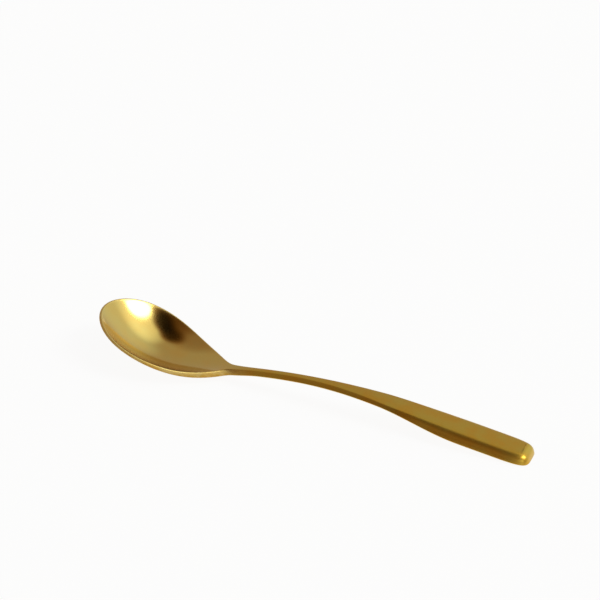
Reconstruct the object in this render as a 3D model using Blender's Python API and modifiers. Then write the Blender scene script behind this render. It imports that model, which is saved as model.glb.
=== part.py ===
# Teaspoon pressed from one blank: an egg-shaped bowl, a slim neck and an arched handle with a thicker grip.
# The half with y >= 0 is skinned along the length from sections given by formula, and a Mirror adds the rest.
import math

import bmesh
import bpy
import numpy as np

MM = 0.001

# Lengths along the spoon
BOWL_LENGTH = 43.5 * MM
HANDLE_LENGTH = 91.5 * MM
GRIP_LENGTH = 19 * MM  # end of the handle that keeps its full width
STRAIGHT_LENGTH = 34 * MM  # end of the handle that is straight in side view
THICK_LENGTH = 22.5 * MM  # end of the handle that keeps its full thickness
THICKEN_RUN = 25 * MM  # stretch over which the stem thickens to that
LEAN_LENGTH = 22 * MM  # end of the handle whose sides are steepest
LEAN_RUN = 27 * MM  # stretch over which the sides steepen to that
STEM_LENGTH = 8 * MM  # stretch behind the bowl that keeps the neck's width
END_ROUND = 13.5 * MM  # stretch over which the handle's end rounds off
RIM_STRAIGHT = 20.3 * MM  # stretch from the tip where the rim is straight in side view
RIM_BEND = 26.2 * MM  # stretch over which the rim then turns up into the neck
ARCH_OVERLAP = 8 * MM  # how far the handle's arch reaches into the bowl
HOLLOW_RUN_OUT = 7 * MM  # stretch over which the hollow fades out at the neck
LIP_LENGTH = 10 * MM  # stretch from the tip that keeps the lip's thickness
SECTION_LEAD = 5 * MM  # how far before the bowl's end the handle's section starts
SECTION_RUN = 12 * MM  # stretch over which the bowl's section turns into the handle's
TILT_LEAD = 10 * MM  # how far before the bowl's end its sides start to lean back
TILT_RUN = 17 * MM  # stretch over which they lean back to the stem's

# Widths, thicknesses and roundings
BOWL_WIDTH = 28.4 * MM  # between the rim's top edges
BOWL_DEPTH = 6 * MM  # below the rim where the bowl is widest
NECK_WIDTH = 4.4 * MM
GRIP_WIDTH = 11.9 * MM
LIP_THICKNESS = 0.9 * MM
NECK_THICKNESS = 1.9 * MM
GRIP_THICKNESS = 2.8 * MM
LIP_RADIUS = 0.4 * MM  # of the bowl's upper edges
LOW_LIP_RADIUS = 0.3 * MM  # of its lower ones
STEM_RADIUS = 1.0 * MM  # of the handle's upper edges behind the bowl
GRIP_RADIUS = 3.0 * MM  # of those at the grip
CORNER_RADIUS = 0.2 * MM  # of the handle's lower edges
MOST_ROUND = 0.92  # share of the side's height that the upper rounding may take
CROWN = 0.4 * MM  # how far the handle's top falls from the middle to the edge
CROWN_POWER = 2.5
STEM_BELLY = 0.8 * MM  # how far the stem's underside rises from the middle to the edge
BELLY_POWER = 2

# Lean of the handle's sides, from facing straight up
STEM_LEAN = math.radians(32)
GRIP_LEAN = math.radians(66)
UPRIGHT = math.radians(90)  # the bowl's sides

END_TURN = math.radians(74)  # how far round the end's outline goes before it runs straight across

# Slopes in side view, as rise per length
RIM_SLOPE = -0.332
NECK_SLOPE = 0.194
GRIP_SLOPE = -0.109

# Powers that shape the outline
BOWL_FULLNESS = 1.32
BOWL_TAPER = 1.17
STEM_FLARE = 1.54
END_SQUARENESS = 4.5
SHOULDER_SHARPNESS = 4

# Number of steps along each stretch, across the half section and round one edge
TIP_STEPS = 14
SHOULDER_STEPS = 14
STEM_STEPS = 18
GRIP_STEPS = 3
END_STEPS = 8
ACROSS_STEPS = 6
EDGE_STEPS = 4

GOLD = (0.48, 0.27, 0.06, 1.0)
GOLD_ROUGHNESS = 0.28

SPOON_LENGTH = BOWL_LENGTH + HANDLE_LENGTH
NUDGE = 1e-4 * MM  # step of the numeric slopes, and how near points are merged
SETTLE_ROUNDS = 6  # times that the resting pitch, and the edge's inset, is worked out again


def ease(u):
    """Rises from 0 to 1 with level ends."""
    u = np.clip(u, 0, 1)
    return u * u * (3 - 2 * u)


def eased_slope(x, start, stop):
    """Height gained from a slope that eases from 0 at start to 1 at stop and stays there."""
    u = (x - start) / (stop - start)
    v = np.clip(u, 0, 1)
    return (stop - start) * (v**3 - v**4 / 2 + np.clip(u - 1, 0, None))


def egg_shape(along):
    """Round at 0 and tapering to a point at 1."""
    return np.sqrt(along) * (1 - along**BOWL_FULLNESS) ** BOWL_TAPER


def full_width(x):
    """Half the width before the end is rounded: an egg for the bowl, joined smoothly to a flaring stem."""
    along = np.clip(x / BOWL_LENGTH, 0, 1)
    # The egg is widest where its slope is zero, and is scaled to the bowl's width there
    widest = (0.5 / (0.5 + BOWL_TAPER * BOWL_FULLNESS)) ** (1 / BOWL_FULLNESS)
    egg = BOWL_WIDTH / 2 * egg_shape(along) / egg_shape(widest)
    # The stem starts inside the egg, where it adds nothing, and flares behind the neck
    flare_start = BOWL_LENGTH + STEM_LENGTH
    flare = ease((x - flare_start) / (SPOON_LENGTH - GRIP_LENGTH - flare_start)) ** STEM_FLARE
    stem = (NECK_WIDTH + (GRIP_WIDTH - NECK_WIDTH) * flare) / 2 * ease(2 * along)
    power = SHOULDER_SHARPNESS
    return (egg**power + stem**power) ** (1 / power)


def half_width(x):
    """Half the outline's width."""
    into_end = np.clip((x - SPOON_LENGTH) / END_ROUND + 1, 0, 1)
    return full_width(x) * (1 - into_end**END_SQUARENESS) ** (1 / END_SQUARENESS)


def rim_height(x):
    """Side view of the top edge: down the rim, up through the neck, over the arch and down the grip."""
    bend_stop = RIM_STRAIGHT + RIM_BEND
    rise = RIM_SLOPE * x
    rise += (NECK_SLOPE - RIM_SLOPE) * eased_slope(x, RIM_STRAIGHT, bend_stop)
    arch_stop = SPOON_LENGTH - STRAIGHT_LENGTH
    return rise + (GRIP_SLOPE - NECK_SLOPE) * eased_slope(x, BOWL_LENGTH - ARCH_OVERLAP, arch_stop)


def sheet_height(x, y):
    """The blank's upper face: the rim line less a hollow that is a parabola across the bowl."""
    hollow = 1 - ease((x - BOWL_LENGTH) / HOLLOW_RUN_OUT + 1)
    across = np.clip(half_width(x) ** 2 - y**2, 0, None) / (BOWL_WIDTH / 2) ** 2
    return rim_height(x) - BOWL_DEPTH * hollow * across


def handle_share(x):
    """0 in the bowl and 1 on the handle."""
    return ease((x - BOWL_LENGTH + SECTION_LEAD) / SECTION_RUN)


def grip_share(x):
    """0 up to the stem and 1 where the grip is thickest."""
    return ease((x - SPOON_LENGTH + THICK_LENGTH) / THICKEN_RUN + 1)


def thickness(x):
    neck = ease((x - LIP_LENGTH) / (BOWL_LENGTH - LIP_LENGTH))
    thinner = LIP_THICKNESS + (NECK_THICKNESS - LIP_THICKNESS) * neck
    return thinner + (GRIP_THICKNESS - NECK_THICKNESS) * grip_share(x)


def crown_drop(x, y):
    """How far the handle's top has fallen at y from its middle."""
    return handle_share(x) * CROWN * (np.abs(y) / full_width(x)) ** CROWN_POWER


def belly_rise(x, y):
    """How far the stem's underside has risen at y from its middle."""
    most = STEM_BELLY * (1 - grip_share(x))
    return handle_share(x) * most * (np.abs(y) / full_width(x)) ** BELLY_POWER


def stations():
    """Places along the length, closer together where the outline turns."""
    tip_stop = BOWL_LENGTH / 2
    stem_start = BOWL_LENGTH + STEM_LENGTH
    grip_start = SPOON_LENGTH - GRIP_LENGTH
    end_start = SPOON_LENGTH - END_ROUND
    turn = np.linspace(0, END_TURN, END_STEPS + 1)[1:]
    return np.concatenate([
        tip_stop * np.linspace(0, 1, TIP_STEPS + 1) ** 2,
        np.linspace(tip_stop, stem_start, SHOULDER_STEPS + 1)[1:],
        np.linspace(stem_start, grip_start, STEM_STEPS + 1)[1:],
        np.linspace(grip_start, end_start, GRIP_STEPS + 1)[1:],
        # The last place comes twice, and its second row closes the end straight across
        end_start + END_ROUND * np.sin(np.append(turn, END_TURN)) ** (2 / END_SQUARENESS),
    ])


def unit(vectors):
    return vectors / np.linalg.norm(vectors, axis=-1, keepdims=True)


def slope_across(surface, x, y):
    return (surface(x, y + NUDGE) - surface(x, y - NUDGE)) / (2 * NUDGE)


def sheet_normal(x, y):
    along = (sheet_height(x + NUDGE, y) - sheet_height(x - NUDGE, y)) / (2 * NUDGE)
    return unit(np.stack([-along, -slope_across(sheet_height, x, y), np.ones_like(along)], -1))


def outline_normal(x):
    """Outward direction of the outline in plan."""
    before = np.clip(x - NUDGE, 0, None)
    after = np.clip(x + NUDGE, None, SPOON_LENGTH)
    slope = (half_width(after) - half_width(before)) / (after - before)
    return unit(np.stack([-slope, np.ones_like(slope), np.zeros_like(slope)], -1))


def inset_place(x, outward, inset):
    """Places in plan at an inset from the outline, square to it."""
    return x - inset * outward[:, 0], np.clip(half_width(x) - inset * outward[:, 1], 0, None)


def edge_section(x, outward):
    """Section of the edge: an upper arc, a straight side and a lower arc between the top and the underside.

    Gives the insets of the top and the underside, then each arc's radius, first lean and last lean.
    """
    tilted = ease((x - BOWL_LENGTH + TILT_LEAD) / TILT_RUN)
    steepening = ease((x - SPOON_LENGTH + LEAN_LENGTH) / LEAN_RUN + 1)
    side = UPRIGHT + (STEM_LEAN + (GRIP_LEAN - STEM_LEAN) * steepening - UPRIGHT) * tilted
    handle_radius = STEM_RADIUS + (GRIP_RADIUS - STEM_RADIUS) * steepening
    wanted = LIP_RADIUS + (handle_radius - LIP_RADIUS) * tilted
    lower = LOW_LIP_RADIUS + (CORNER_RADIUS - LOW_LIP_RADIUS) * tilted
    top_inset, under_inset = wanted, lower
    # Heights and insets depend on each other, so they are worked out a few times over
    for _ in range(SETTLE_ROUNDS):
        top_place = inset_place(x, outward, top_inset)
        under_place = inset_place(x, outward, under_inset)
        top_lean = np.arctan(slope_across(crown_drop, *top_place) * outward[:, 1])
        under_lean = math.pi - np.arctan(slope_across(belly_rise, *under_place) * outward[:, 1])
        height = thickness(x) - crown_drop(*top_place) - belly_rise(*under_place)
        height -= lower * (np.cos(side) - np.cos(under_lean))
        fall = np.cos(top_lean) - np.cos(side)
        upper = np.minimum(wanted, MOST_ROUND * height / fall)
        straight = (height - upper * fall) / np.sin(side)
        top_inset = upper * (np.sin(side) - np.sin(top_lean)) + straight * np.cos(side)
        top_inset += lower * (1 - np.sin(side))
        under_inset = lower * (1 - np.sin(under_lean))
    return top_inset, under_inset, (upper, top_lean, side), (lower, under_lean, side)


def face(x, outward, inset, depth_at):
    """Points out to an inset, at a depth below the blank's upper face, and the normals along its rim."""
    share = np.linspace(0, 1, ACROSS_STEPS + 1)
    rim_x, rim_y = inset_place(x, outward, inset)
    grid_x = np.repeat(rim_x[:, None], len(share), axis=1)
    grid_y = rim_y[:, None] * share
    normals = sheet_normal(grid_x, grid_y)
    points = np.stack([grid_x, grid_y, sheet_height(grid_x, grid_y)], -1)
    return points - depth_at(grid_x, grid_y)[..., None] * normals, normals[:, -1:]


def edge_arc(rim, up, outward, radius, first, last):
    """Arc that goes on from the rim of a face, from one lean to another."""
    out = unit(outward[:, None] - (outward[:, None] * up).sum(-1, keepdims=True) * up)
    lean = first[:, None] + (last - first)[:, None] * np.linspace(0, 1, EDGE_STEPS + 1)[1:]
    reach = radius[:, None] * (np.sin(lean) - np.sin(first)[:, None])
    rise = radius[:, None] * (np.cos(lean) - np.cos(first)[:, None])
    return rim + reach[..., None] * out + rise[..., None] * up


def half_surface():
    """Points of the half with y >= 0: a row for each station, from underside middle to top middle."""
    x = stations()
    outward = outline_normal(x)
    top_inset, under_inset, upper, lower = edge_section(x, outward)
    wall = thickness(x)[:, None]
    top, top_up = face(x, outward, top_inset, crown_drop)
    under, under_up = face(x, outward, under_inset, lambda grid_x, grid_y: wall - belly_rise(grid_x, grid_y))
    upper_edge = edge_arc(top[:, -1:], top_up, outward, *upper)
    lower_edge = edge_arc(under[:, -1:], under_up, outward, *lower)
    rows = np.concatenate([under, lower_edge, upper_edge[:, ::-1], top[:, ::-1]], axis=1)
    rows[[0, -1], :, 1] = 0
    return rows


def lay_down(points):
    """Pitches the spoon until the bowl and the grip both touch z = 0, then centres it over the origin."""
    flat = points.reshape(-1, 3)
    for _ in range(SETTLE_ROUNDS):
        bowl = flat[:, 0] < BOWL_LENGTH
        low_bowl = flat[bowl][flat[bowl][:, 2].argmin()]
        low_grip = flat[~bowl][flat[~bowl][:, 2].argmin()]
        reach = low_grip - low_bowl
        pitch = math.atan2(reach[2], reach[0])
        turn = np.array([
            [math.cos(pitch), 0, math.sin(pitch)],
            [0, 1, 0],
            [-math.sin(pitch), 0, math.cos(pitch)],
        ])
        flat = (flat - low_bowl) @ turn.T + low_bowl
    low, high = flat.min(axis=0), flat.max(axis=0)
    return flat - np.array([(low[0] + high[0]) / 2, 0, low[2]])


def gold_material():
    material = bpy.data.materials.new("satin_gold")
    material.use_nodes = True
    shader = material.node_tree.nodes["Principled BSDF"]
    shader.inputs["Base Color"].default_value = GOLD
    shader.inputs["Metallic"].default_value = 1.0
    shader.inputs["Roughness"].default_value = GOLD_ROUGHNESS
    return material


def make_teaspoon(collection):
    rows = half_surface()
    sheet = bmesh.new()
    bmesh.ops.create_grid(sheet, x_segments=rows.shape[1] - 1, y_segments=rows.shape[0] - 1)
    for vertex, point in zip(sheet.verts, lay_down(rows)):
        vertex.co = point
    bmesh.ops.remove_doubles(sheet, verts=sheet.verts, dist=NUDGE)
    mesh = bpy.data.meshes.new("teaspoon")
    sheet.to_mesh(mesh)
    sheet.free()
    mesh.shade_smooth()
    mesh.materials.append(gold_material())
    spoon = bpy.data.objects.new("teaspoon", mesh)
    collection.objects.link(spoon)
    mirror = spoon.modifiers.new("other_half", "MIRROR")
    mirror.use_axis = (False, True, False)
    mirror.merge_threshold = NUDGE
    return spoon


for old in list(bpy.data.objects):
    bpy.data.objects.remove(old)
teaspoon_parts = bpy.data.collections.new("teaspoon")
bpy.context.scene.collection.children.link(teaspoon_parts)
make_teaspoon(teaspoon_parts)
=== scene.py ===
import math

import bmesh
import bpy
import numpy as np
from mathutils import Matrix, Vector


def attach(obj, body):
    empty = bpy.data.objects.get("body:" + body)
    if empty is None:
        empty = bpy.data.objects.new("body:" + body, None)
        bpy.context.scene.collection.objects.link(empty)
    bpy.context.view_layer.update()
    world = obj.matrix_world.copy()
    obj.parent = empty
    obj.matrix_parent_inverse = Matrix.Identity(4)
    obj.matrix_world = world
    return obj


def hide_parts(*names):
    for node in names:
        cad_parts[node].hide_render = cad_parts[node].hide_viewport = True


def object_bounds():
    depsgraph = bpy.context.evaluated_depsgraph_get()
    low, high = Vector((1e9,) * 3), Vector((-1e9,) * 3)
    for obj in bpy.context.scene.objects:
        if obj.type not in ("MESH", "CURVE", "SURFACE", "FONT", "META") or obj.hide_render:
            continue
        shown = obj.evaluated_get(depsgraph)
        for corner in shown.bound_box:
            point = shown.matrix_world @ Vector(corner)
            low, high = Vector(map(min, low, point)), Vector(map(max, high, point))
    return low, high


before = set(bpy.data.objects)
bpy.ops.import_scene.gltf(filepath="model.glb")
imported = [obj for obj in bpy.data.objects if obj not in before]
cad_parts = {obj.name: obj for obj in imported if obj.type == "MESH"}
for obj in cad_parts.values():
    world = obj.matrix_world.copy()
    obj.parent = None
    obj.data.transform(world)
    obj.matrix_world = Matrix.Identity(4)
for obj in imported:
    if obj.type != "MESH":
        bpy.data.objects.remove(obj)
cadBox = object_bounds()  # lowest and highest corner of the solids, in metres
mm = 0.001
scene = bpy.context.scene
scene.view_settings.view_transform = "Standard"
print("frame loaded:", ", ".join(sorted(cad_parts)))


# Shader maths: a Wire is a socket, or a place to start from, in one node tree
class Wire:
    def __init__(self, tree, socket=None):
        self.tree = tree
        self.socket = socket

    # any node: its settings first, then its sockets' values or links
    def add(self, kind, settings={}, sockets={}, out=0):
        node = self.tree.nodes.new("ShaderNode" + kind)
        for name, value in settings.items():
            setattr(node, name, value)
        for name, value in sockets.items():
            if isinstance(value, Wire):
                self.tree.links.new(value.socket, node.inputs[name])
            else:
                node.inputs[name].default_value = value
        return Wire(self.tree, node.outputs[out] if node.outputs else None)

    def math(self, operation, first, second=0.0):
        return self.add("Math", {"operation": operation}, {0: first, 1: second})

    def __add__(self, other):
        return self.math("ADD", self, other)

    def __sub__(self, other):
        return self.math("SUBTRACT", self, other)

    def __rsub__(self, other):
        return self.math("SUBTRACT", other, self)

    def __mul__(self, other):
        return self.math("MULTIPLY", self, other)

    __radd__ = __add__
    __rmul__ = __mul__


def startTree(owner):
    owner.use_nodes = True
    owner.node_tree.nodes.clear()
    return Wire(owner.node_tree)


# smooth step of a value from low, where it gives 0, to high, where it gives 1
def rampUp(value, low, high):
    settings = {"interpolation_type": "SMOOTHSTEP"}
    return value.add("MapRange", settings, {"Value": value, "From Min": low, "From Max": high})


def mixColours(share, first, second):
    first, second = (c if isinstance(c, Wire) else (*c, 1) for c in (first, second))
    return share.add("Mix", {"data_type": "RGBA"}, {0: share, 6: first, 7: second}, out=2)


# direction from the object, by azimuth (0 towards the viewer, 90 towards +X) and elevation in degrees
def towards(azimuth, elevation):
    a, e = math.radians(azimuth), math.radians(elevation)
    return Vector((math.sin(a) * math.cos(e), -math.cos(a) * math.cos(e), math.sin(e)))


# Camera, at the photograph's angle, for a square picture
camera = {
    "azimuth": 15.645,
    "elevation": 31.006,
    "roll": 6.413,  # degrees that the picture is turned clockwise
    "distance": 1200,  # mm
    "lens": 244.342,  # mm
    "sensor": 36,  # mm
    "nearest": 0.01,  # metres
    "farthest": 50,
    "aimRight": -3.797,  # mm from the origin to the picture's centre
    "aimUp": 29.723,
}


def makeCamera():
    back = towards(camera["azimuth"], camera["elevation"])
    level = Vector((0, 0, 1)).cross(back).normalized()
    upright = back.cross(level)
    roll = math.radians(camera["roll"])
    right = math.cos(roll) * level + math.sin(roll) * upright
    up = math.cos(roll) * upright - math.sin(roll) * level
    aim = (right * camera["aimRight"] + up * camera["aimUp"]) * mm
    data = bpy.data.cameras.new("photoCamera")
    data.sensor_width = camera["sensor"]
    data.lens = camera["lens"]
    data.clip_start = camera["nearest"]
    data.clip_end = camera["farthest"]
    made = bpy.data.objects.new("photoCamera", data)
    turn = Matrix((right, up, back)).transposed()
    made.matrix_world = Matrix.Translation(aim + back * camera["distance"] * mm) @ turn.to_4x4()
    scene.collection.objects.link(made)
    scene.camera = made


makeCamera()
print("camera set")


# The spoon's sizes in mm, and the numbers that shape it
spoon = {
    "bowlLength": 43.5,
    "handleLength": 91.5,
    "gripLength": 19,  # end of the handle that keeps its full width
    "straightLength": 34,  # end of the handle that is straight in side view
    "thickLength": 22.5,  # end of the handle that keeps its full thickness
    "thickenRun": 25,
    "stemLength": 8,  # stretch behind the bowl that keeps the neck's width
    "endRound": 13.5,
    "rimStraight": 20.3,
    "rimBend": 26.2,
    "archOverlap": 8,
    "hollowRunOut": 7,
    "lipLength": 10,
    "tiltLead": 10,  # how far before the bowl's end its sides start to lean back
    "tiltRun": 17,
    "sectionLead": 5,  # how far before the bowl's end the handle's section starts
    "sectionRun": 12,
    "bowlWidth": 28.4,
    "bowlDepth": 6,
    "neckWidth": 4.4,
    "gripWidth": 11.9,
    "lipThickness": 0.9,
    "neckThickness": 1.9,
    "gripThickness": 2.8,
    "lipRadius": 0.4,  # rounding of the bowl's upper edges
    "lowLipRadius": 0.3,  # and of its lower ones
    "stemRadius": 1.0,  # of the handle's upper edges behind the bowl
    "shoulderRadius": 3.0,  # and at the grip
    "cornerRadius": 0.2,  # of the handle's lower edges
    "mostRound": 0.92,  # share of the side that the upper rounding may take
    "crown": 0.4,  # how far the handle's top falls from the middle to the edge
    "crownPower": 2.5,
    "stemBelly": 0.8,  # how far the underside rises from the middle to the edge
    "stemLean": 32,  # degrees from straight up that the handle's sides face behind the bowl
    "sideLean": 66,  # and at the grip
    "leanLength": 22,  # end of the handle whose sides keep that lean
    "leanRun": 27,
    "rimSlope": -0.332,
    "neckSlope": 0.194,
    "gripSlope": -0.109,
    "bowlFullness": 1.32,
    "bowlTaper": 1.17,
    "stemFlare": 1.54,
    "endSquareness": 4.5,
    "shoulderSharpness": 4,
    "tipSteps": 70,
    "shoulderSteps": 90,
    "stemSteps": 110,
    "gripSteps": 24,
    "endSteps": 36,
    "acrossSteps": 36,
    "edgeSteps": 12,
    "settleRounds": 6,  # times that the resting pitch, or the edge's inset, is worked out again
}
spoonLength = spoon["bowlLength"] + spoon["handleLength"]
gripStart = spoonLength - spoon["gripLength"]
straightStart = spoonLength - spoon["straightLength"]
thickStart = spoonLength - spoon["thickLength"]
leanStart = spoonLength - spoon["leanLength"]
stemStart = spoon["bowlLength"] + spoon["stemLength"]
nudge = 1e-4  # mm, step of the numeric slopes, and how close points are joined


# 3u^2 - 2u^3 between 0 and 1
def ease(u):
    u = np.clip(u, 0, 1)
    return u * u * (3 - 2 * u)


# integral of ease from start: the height gained while a slope eases in from 0 to 1
def easedSlope(x, start, stop):
    u = (x - start) / (stop - start)
    v = np.clip(u, 0, 1)
    return (stop - start) * (v**3 - v**4 / 2 + np.clip(u - 1, 0, None))


# square root of the place along, times (1 - along to one power) to another: round at 0, pointed at 1
def eggShape(along):
    return np.sqrt(along) * (1 - along ** spoon["bowlFullness"]) ** spoon["bowlTaper"]


# egg and flaring stem, joined as the root of the sum of their powers
def fullWidth(x):
    along = np.clip(x / spoon["bowlLength"], 0, 1)
    widest = (0.5 / (0.5 + spoon["bowlTaper"] * spoon["bowlFullness"])) ** (1 / spoon["bowlFullness"])
    egg = spoon["bowlWidth"] / 2 * eggShape(along) / eggShape(widest)
    flare = ease((x - stemStart) / (gripStart - stemStart)) ** spoon["stemFlare"]
    stemWidth = spoon["neckWidth"] + (spoon["gripWidth"] - spoon["neckWidth"]) * flare
    stem = stemWidth / 2 * ease(2 * along)
    power = spoon["shoulderSharpness"]
    return (egg**power + stem**power) ** (1 / power)


# full width times a superellipse at the end
def halfWidth(x):
    intoEnd = np.clip((x - spoonLength) / spoon["endRound"] + 1, 0, 1)
    return fullWidth(x) * (1 - intoEnd ** spoon["endSquareness"]) ** (1 / spoon["endSquareness"])


# three slopes in side view, each eased into the next: down the rim, up the neck, down the grip
def rimHeight(x):
    rimStop = spoon["rimStraight"] + spoon["rimBend"]
    archStart = spoon["bowlLength"] - spoon["archOverlap"]
    rise = spoon["rimSlope"] * x
    rise = rise + (spoon["neckSlope"] - spoon["rimSlope"]) * easedSlope(x, spoon["rimStraight"], rimStop)
    return rise + (spoon["gripSlope"] - spoon["neckSlope"]) * easedSlope(x, archStart, straightStart)


# rim line less a parabola across, which fades out towards the neck
def sheetHeight(x, y):
    hollow = 1 - ease((x - spoon["bowlLength"]) / spoon["hollowRunOut"] + 1)
    across = np.clip(halfWidth(x) ** 2 - y**2, 0, None) / (spoon["bowlWidth"] / 2) ** 2
    return rimHeight(x) - spoon["bowlDepth"] * hollow * across


# 0 in the bowl, 1 on the handle
def handleShare(x):
    return ease((x - spoon["bowlLength"] + spoon["sectionLead"]) / spoon["sectionRun"])


# 0 up to the stem, 1 on the thick grip
def gripShare(x):
    return ease((x - thickStart) / spoon["thickenRun"] + 1)


# lip, neck and grip thickness, each eased into the next
def wallThickness(x):
    neck = ease((x - spoon["lipLength"]) / (spoon["bowlLength"] - spoon["lipLength"]))
    thinner = spoon["lipThickness"] + (spoon["neckThickness"] - spoon["lipThickness"]) * neck
    return thinner + (spoon["gripThickness"] - spoon["neckThickness"]) * gripShare(x)


# the handle's top falls towards its edges by a power of the way across
def crownDrop(x, y):
    return handleShare(x) * spoon["crown"] * (np.abs(y) / fullWidth(x)) ** spoon["crownPower"]


# the stem's underside rises towards its edges by the square of the way across
def bellyRise(x, y):
    return handleShare(x) * spoon["stemBelly"] * (1 - gripShare(x)) * (np.abs(y) / fullWidth(x)) ** 2


# places along the length: squared spacing at the tip, even on the stem, sine spacing at the end
def stations():
    tipStop = spoon["bowlLength"] / 2
    endStart = spoonLength - spoon["endRound"]
    turn = np.linspace(0, math.pi / 2, spoon["endSteps"] + 1)[1:]
    return np.concatenate([
        tipStop * np.linspace(0, 1, spoon["tipSteps"] + 1) ** 2,
        np.linspace(tipStop, stemStart, spoon["shoulderSteps"] + 1)[1:],
        np.linspace(stemStart, gripStart, spoon["stemSteps"] + 1)[1:],
        np.linspace(gripStart, endStart, spoon["gripSteps"] + 1)[1:],
        endStart + spoon["endRound"] * np.sin(turn) ** (2 / spoon["endSquareness"]),
    ])


def unit(vectors):
    return vectors / np.linalg.norm(vectors, axis=-1, keepdims=True)


def slopeAcross(surface, x, y):
    return (surface(x, y + nudge) - surface(x, y - nudge)) / (2 * nudge)


# (-slope along, -slope across, 1), made a unit vector
def sheetNormal(x, y):
    along = (sheetHeight(x + nudge, y) - sheetHeight(x - nudge, y)) / (2 * nudge)
    return unit(np.stack([-along, -slopeAcross(sheetHeight, x, y), np.ones_like(along)], -1))


# (-slope of the half width, 1, 0), made a unit vector
def outlineNormal(x):
    before = np.clip(x - nudge, 0, None)
    after = np.clip(x + nudge, None, spoonLength)
    slope = (halfWidth(after) - halfWidth(before)) / (after - before)
    return unit(np.stack([-slope, np.ones_like(slope), np.zeros_like(slope)], -1))


# Place in plan at an inset from the outline, square to it
def insetPlace(x, outward, inset):
    return x - inset * outward[:, 0], np.clip(halfWidth(x) - inset * outward[:, 1], 0, None)


# Section of the edge: an upper arc, a straight side and a lower arc share the height between the top
# and the underside, and the side takes what the arcs leave. The insets depend on the heights at them,
# so both are worked out a few times over.
def edgeSection(x, outward):
    tilted = ease((x - spoon["bowlLength"] + spoon["tiltLead"]) / spoon["tiltRun"])
    leaning = ease((x - leanStart) / spoon["leanRun"] + 1)
    lean = spoon["stemLean"] + (spoon["sideLean"] - spoon["stemLean"]) * leaning
    side = np.radians(90 + (lean - 90) * tilted)
    handleRadius = spoon["stemRadius"] + (spoon["shoulderRadius"] - spoon["stemRadius"]) * leaning
    wanted = spoon["lipRadius"] + (handleRadius - spoon["lipRadius"]) * tilted
    lower = spoon["lowLipRadius"] + (spoon["cornerRadius"] - spoon["lowLipRadius"]) * tilted
    topInset, underInset = wanted, lower
    for _ in range(spoon["settleRounds"]):
        topPlace = insetPlace(x, outward, topInset)
        underPlace = insetPlace(x, outward, underInset)
        topLean = np.arctan(slopeAcross(crownDrop, *topPlace) * outward[:, 1])
        underLean = np.pi - np.arctan(slopeAcross(bellyRise, *underPlace) * outward[:, 1])
        height = wallThickness(x) - crownDrop(*topPlace) - bellyRise(*underPlace)
        height = height - lower * (np.cos(side) - np.cos(underLean))
        fall = np.cos(topLean) - np.cos(side)
        upper = np.minimum(wanted, spoon["mostRound"] * height / fall)
        straight = (height - upper * fall) / np.sin(side)
        topInset = upper * (np.sin(side) - np.sin(topLean)) + straight * np.cos(side)
        topInset = topInset + lower * (1 - np.sin(side))
        underInset = lower * (1 - np.sin(underLean))
    return topInset, underInset, (upper, topLean, side), (lower, underLean, side)


# Face of the sheet out to an inset, and its normals: the sheet's height less a depth along the normal
def face(x, outward, inset, depthAt):
    share = np.linspace(0, 1, spoon["acrossSteps"] + 1)
    rimX, rimY = insetPlace(x, outward, inset)
    gridX = np.repeat(rimX[:, None], len(share), axis=1)
    gridY = rimY[:, None] * share
    normals = sheetNormal(gridX, gridY)
    points = np.stack([gridX, gridY, sheetHeight(gridX, gridY)], -1)
    return points - depthAt(gridX, gridY)[..., None] * normals, normals[:, -1:]


# Arc that goes on from the rim of a face, from one lean to another in radians from straight up:
# radius times the change of the lean's sine outwards and of its cosine upwards
def edgeArc(rim, up, outward, radius, first, last):
    out = unit(outward[:, None] - (outward[:, None] * up).sum(-1, keepdims=True) * up)
    lean = first[:, None] + (last - first)[:, None] * np.linspace(0, 1, spoon["edgeSteps"] + 1)[1:]
    reach = radius[:, None] * (np.sin(lean) - np.sin(first)[:, None])
    rise = radius[:, None] * (np.cos(lean) - np.cos(first)[:, None])
    return rim + reach[..., None] * out + rise[..., None] * up


# Half with y >= 0, a row for each station from the underside's middle round to the top's
def halfSurface():
    x = stations()
    outward = outlineNormal(x)
    topInset, underInset, upper, lower = edgeSection(x, outward)
    wall = wallThickness(x)[:, None]
    top, topUp = face(x, outward, topInset, crownDrop)
    under, underUp = face(x, outward, underInset, lambda gridX, gridY: wall - bellyRise(gridX, gridY))
    upperEdge = edgeArc(top[:, -1:], topUp, outward, *upper)
    lowerEdge = edgeArc(under[:, -1:], underUp, outward, *lower)
    rows = np.concatenate([under, lowerEdge, upperEdge[:, ::-1], top[:, ::-1]], axis=1)
    rows[[0, -1], :, 1] = 0
    return rows


# Turns the points about Y until the bowl's and the grip's lowest points are level, then puts the
# middle of their length, and their lowest point, where the solids have theirs
def layDown(points):
    flat = points.reshape(-1, 3)
    for _ in range(spoon["settleRounds"]):
        bowl = flat[:, 0] < spoon["bowlLength"]
        lowBowl = flat[bowl][flat[bowl][:, 2].argmin()]
        lowGrip = flat[~bowl][flat[~bowl][:, 2].argmin()]
        reach = lowGrip - lowBowl
        turn = np.array(Matrix.Rotation(math.atan2(reach[2], reach[0]), 3, "Y"))
        flat = (flat - lowBowl) @ turn.T + lowBowl
    low, high = flat.min(axis=0), flat.max(axis=0)
    middle = (cadBox[0].x + cadBox[1].x) / 2
    placed = flat * mm + [middle - (low[0] + high[0]) / 2 * mm, 0, cadBox[0].z - low[2] * mm]
    return placed.reshape(points.shape)


# Where each point lies on a spoon with its bends taken out, for a grain that follows the metal:
# the same x and y, with the height counted from the rim line
def straightened(rows):
    return np.stack([rows[..., 0], rows[..., 1], rows[..., 2] - rimHeight(rows[..., 0])], -1)


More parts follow.
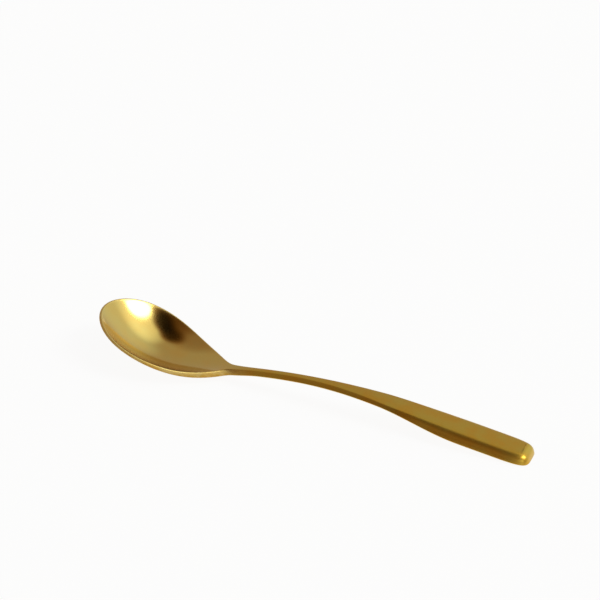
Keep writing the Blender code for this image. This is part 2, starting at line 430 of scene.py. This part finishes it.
# Finish of each point: nearness to the edge, which is a bell curve of the distance in plan to the
# row's outermost point, share of the bowl's inside, and share of the bowl as a whole
def finishShares(rows):
    across, edge = spoon["acrossSteps"] + 1, spoon["edgeSteps"]
    isTop = np.concatenate([np.zeros(across + edge), np.ones(edge + across)])
    outermost = rows[:, across + edge // 2, None, :2]
    fromEdge = np.linalg.norm(rows[..., :2] - outermost, axis=-1)
    nearEdge = np.exp(-((fromEdge / gold["edgeReach"]) ** 2))
    onBowl = 1 - handleShare(rows[..., 0])
    return np.stack([nearEdge, onBowl * isTop, onBowl], -1)


# Satin gold finish: lengths in mm
gold = {
    "bowlWarm": (0.738, 0.497, 0.135),
    "bowlOlive": (0.702, 0.522, 0.158),
    "handleWarm": (0.676, 0.385, 0.046),
    "handleOlive": (0.635, 0.435, 0.068),
    "lipWearAndSheen": (0.77, 0.585, 0.24),  # the bowl's edge, left matt by grinding: paler worn metal, and also a painted sheen that brightens the lamp's streak along the lip
    "paleLevels": (0.7, 1.3),  # mottle plus streak where the lip starts to turn pale, and is all pale
    "mottleLevels": (0.3, 0.7),  # mottle where the gold is all warm, and all olive
    "satinRoughness": 0.32,
    "bowlRoughness": 0.135,
    "lipRoughness": 0.75,
    "grainRoughness": 0.08,  # how far the grain changes the roughness outside the bowl
    "streakRoughness": 0.06,
    "edgeReach": 0.7,
    "grainLength": 12,
    "grainWidth": 0.12,
    "streakLength": 40,
    "streakWidth": 0.9,
    "mottleSize": 5,
    "grainDetail": 2.0,
    "mottleDetail": 3.0,
    "noiseMiddle": 0.5,
    "grainHeight": 0.0005,
    "grainShare": 0.7,  # of that height, where the rest is the streaks'
}


def satinGold():
    material = bpy.data.materials.new("satinGold")
    start = startTree(material)
    place = start.add("Attribute", {"attribute_name": "straightPlace"}, out="Vector")
    finish = start.add("Attribute", {"attribute_name": "finishShares"}, out="Vector")
    nearEdge, inBowl, onBowl = (
        start.add("SeparateXYZ", {}, {"Vector": finish}, out=axis) for axis in "XYZ"
    )

    # noise with cells of the given length and width, in mm, on the straightened spoon
    def grain(length, width, detail):
        scaled = start.add(
            "VectorMath",
            {"operation": "MULTIPLY"},
            {0: place, 1: (1 / length, 1 / width, 1 / width)},
        )
        return start.add("TexNoise", {}, {"Vector": scaled, "Scale": 1.0, "Detail": detail})

    fine = grain(gold["grainLength"], gold["grainWidth"], gold["grainDetail"])
    streak = grain(gold["streakLength"], gold["streakWidth"], gold["grainDetail"])
    mottle = grain(gold["mottleSize"], gold["mottleSize"], gold["mottleDetail"])

    shade = rampUp(mottle, *gold["mottleLevels"])
    bowl = mixColours(shade, gold["bowlWarm"], gold["bowlOlive"])
    handle = mixColours(shade, gold["handleWarm"], gold["handleOlive"])
    colour = mixColours(inBowl, handle, bowl)
    onLip = nearEdge * onBowl
    # pale patches on the lip: partly wear, partly a painted sheen standing in for the lamp's streak
    # along the rim
    pale = onLip * rampUp(mottle + streak, *gold["paleLevels"])
    colour = mixColours(pale, colour, gold["lipWearAndSheen"])

    # the grain stops at the edges, and at the bowl's inside, which is polished
    fine, streak = fine - gold["noiseMiddle"], streak - gold["noiseMiddle"]
    satin = gold["satinRoughness"] + (gold["bowlRoughness"] - gold["satinRoughness"]) * inBowl
    uneven = fine * gold["grainRoughness"] + streak * gold["streakRoughness"]
    rough = satin + uneven * (1 - inBowl)
    rough = rough + (gold["lipRoughness"] - rough) * onLip
    brushed = fine * gold["grainShare"] + streak * (1 - gold["grainShare"])
    brushed = brushed * (1 - nearEdge) * (1 - inBowl)

    bump = start.add(
        "Bump",
        {},
        {"Height": brushed, "Strength": 1.0, "Distance": gold["grainHeight"] * mm},
    )
    shader = start.add(
        "BsdfPrincipled",
        {},
        {
            "Base Color": colour,
            "Metallic": 1.0,
            "Roughness": rough,
            "Normal": bump,
        },
    )
    start.add("OutputMaterial", {}, {"Surface": shader})
    return material


def addAttribute(mesh, name, values):
    layer = mesh.attributes.new(name, "FLOAT_VECTOR", "POINT")
    layer.data.foreach_set("vector", values.astype(np.float32).ravel())


# Rings from the half's rows and their mirror image, joined into quads
def makeSpoon():
    half = halfSurface()
    placed = layDown(half)
    mirrored = slice(-2, 0, -1)  # without the two columns that lie in the middle
    flip = np.array([1, -1, 1])
    points = np.concatenate([placed, placed[:, mirrored] * flip], axis=1)
    places = straightened(half)
    places = np.concatenate([places, places[:, mirrored] * flip], axis=1)
    shares = finishShares(half)
    shares = np.concatenate([shares, shares[:, mirrored]], axis=1)

    rows, columns = points.shape[:2]
    index = np.arange(rows * columns).reshape(rows, columns)
    following = np.roll(index, -1, axis=1)
    quads = np.stack([index[:-1], following[:-1], following[1:], index[1:]], -1).reshape(-1, 4)

    mesh = bpy.data.meshes.new("goldTeaspoon")
    mesh.from_pydata(points.reshape(-1, 3), [], quads)
    addAttribute(mesh, "straightPlace", places)
    addAttribute(mesh, "finishShares", shares)
    sheet = bmesh.new()
    sheet.from_mesh(mesh)
    bmesh.ops.remove_doubles(sheet, verts=sheet.verts, dist=nudge * mm)
    bmesh.ops.recalc_face_normals(sheet, faces=sheet.faces)
    openEdges = sum(not edge.is_manifold for edge in sheet.edges)
    sheet.to_mesh(mesh)
    sheet.free()
    mesh.shade_smooth()
    mesh.materials.append(satinGold())

    piece = bpy.data.objects.new("goldTeaspoon", mesh)
    scene.collection.objects.link(piece)
    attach(piece, "root")
    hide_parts("teaspoon")
    print(f"teaspoon made: {len(mesh.polygons)} faces, {openEdges} open edges")


makeSpoon()


# Studio: pale floor, one large soft lamp to the right and a dim room with a darker top and front
studio = {
    "floorHalf": 8.0,  # metres
    "floorColour": (0.93, 0.93, 0.93),
    "floorGlow": 0.93,  # share of the floor that is plain white to the eye
    "lampAzimuth": 94,
    "lampElevation": 49.5,
    "lampTilt": -38,  # degrees that its long side is turned
    "lampDistance": 4.0,  # metres
    "lampSize": (2.6, 1.2),  # metres
    "lampBrightness": 7.0,  # light that its face gives off, where 1 is white
    "room": 0.46,
    "dimTint": (0.96, 0.37, 0.0),  # colour that the room's dim parts lean to
    "brightTint": (0.96, 1.02, 1.0),
    "tintLevels": (-0.1, 0.75),  # light at which each of them would be reached
    # patches of the room: azimuth, elevation, full inside and gone past so many degrees, strength
    "glows": [
        (112, 54, 0, 33, 0.68),  # round the lamp
        (140, 24, 0, 45, 0.33),
        (47, 24, 0, 18, 0.75),
    ],
    "shades": [
        (52, 75, 6, 17, 0.95),
        (170, 88, 4, 16, 0.92),
        (-75, 66, 0, 34, 0.3),
        (2, 62, 6, 31, 0.66),
        (-15, 12, 5, 36, 0.62),
    ],
}


def makeFloor():
    half, level = studio["floorHalf"], cadBox[0].z
    corners = [(-half, -half, level), (half, -half, level), (half, half, level), (-half, half, level)]
    mesh = bpy.data.meshes.new("paleFloor")
    mesh.from_pydata(corners, [], [(0, 1, 2, 3)])
    material = bpy.data.materials.new("paleFloor")
    start = startTree(material)
    matt = start.add("BsdfDiffuse", {}, {"Color": (*studio["floorColour"], 1)})
    below = start.add("NewGeometry", out="Backfacing")  # from below the floor isn't seen
    clear = start.add("BsdfTransparent")
    white = start.add("Emission", {}, {"Color": (1, 1, 1, 1), "Strength": 1.0})
    kinds = ("Camera", "Glossy", "Transmission")
    seen = sum(start.add("LightPath", out=f"Is {kind} Ray") for kind in kinds)
    glow = seen * studio["floorGlow"]
    shown = start.add("MixShader", {}, {0: glow, 1: matt, 2: white})
    shader = start.add("MixShader", {}, {0: below, 1: shown, 2: clear})
    start.add("OutputMaterial", {}, {"Surface": shader})
    mesh.materials.append(material)
    floor = bpy.data.objects.new("paleFloor", mesh)
    scene.collection.objects.link(floor)


def makeLamp():
    data = bpy.data.lights.new("sideLamp", "AREA")
    data.shape = "ELLIPSE"
    data.size, data.size_y = studio["lampSize"]
    faceArea = math.pi / 4 * data.size * data.size_y
    data.energy = studio["lampBrightness"] * math.pi * faceArea
    data.color = studio["brightTint"]
    lamp = bpy.data.objects.new("sideLamp", data)
    back = towards(studio["lampAzimuth"], studio["lampElevation"])
    lamp.location = back * studio["lampDistance"]
    tilt = Matrix.Rotation(math.radians(studio["lampTilt"]), 3, "Z")
    lamp.rotation_euler = (back.to_track_quat("Z", "Y").to_matrix() @ tilt).to_euler()
    scene.collection.objects.link(lamp)


def makeRoom():
    world = bpy.data.worlds.new("studioRoom")
    scene.world = world
    start = startTree(world)
    direction = start.add("TexCoord", out="Generated")

    # strength of a round patch of the room, full inside core degrees and gone past rim degrees
    def patch(azimuth, elevation, core, rim, strength):
        facing = start.add(
            "VectorMath",
            {"operation": "DOT_PRODUCT"},
            {0: direction, 1: towards(azimuth, elevation)},
            out="Value",
        )
        return rampUp(facing, math.cos(math.radians(rim)), math.cos(math.radians(core))) * strength

    level = studio["room"] + sum(patch(*glow) for glow in studio["glows"])
    for shade in studio["shades"]:
        level = level * (1 - patch(*shade))
    tint = mixColours(rampUp(level, *studio["tintLevels"]), studio["dimTint"], studio["brightTint"])
    shader = start.add("Background", {}, {"Color": tint, "Strength": level})
    start.add("OutputWorld", {}, {"Surface": shader})


makeFloor()
makeLamp()
makeRoom()
print("studio lit")
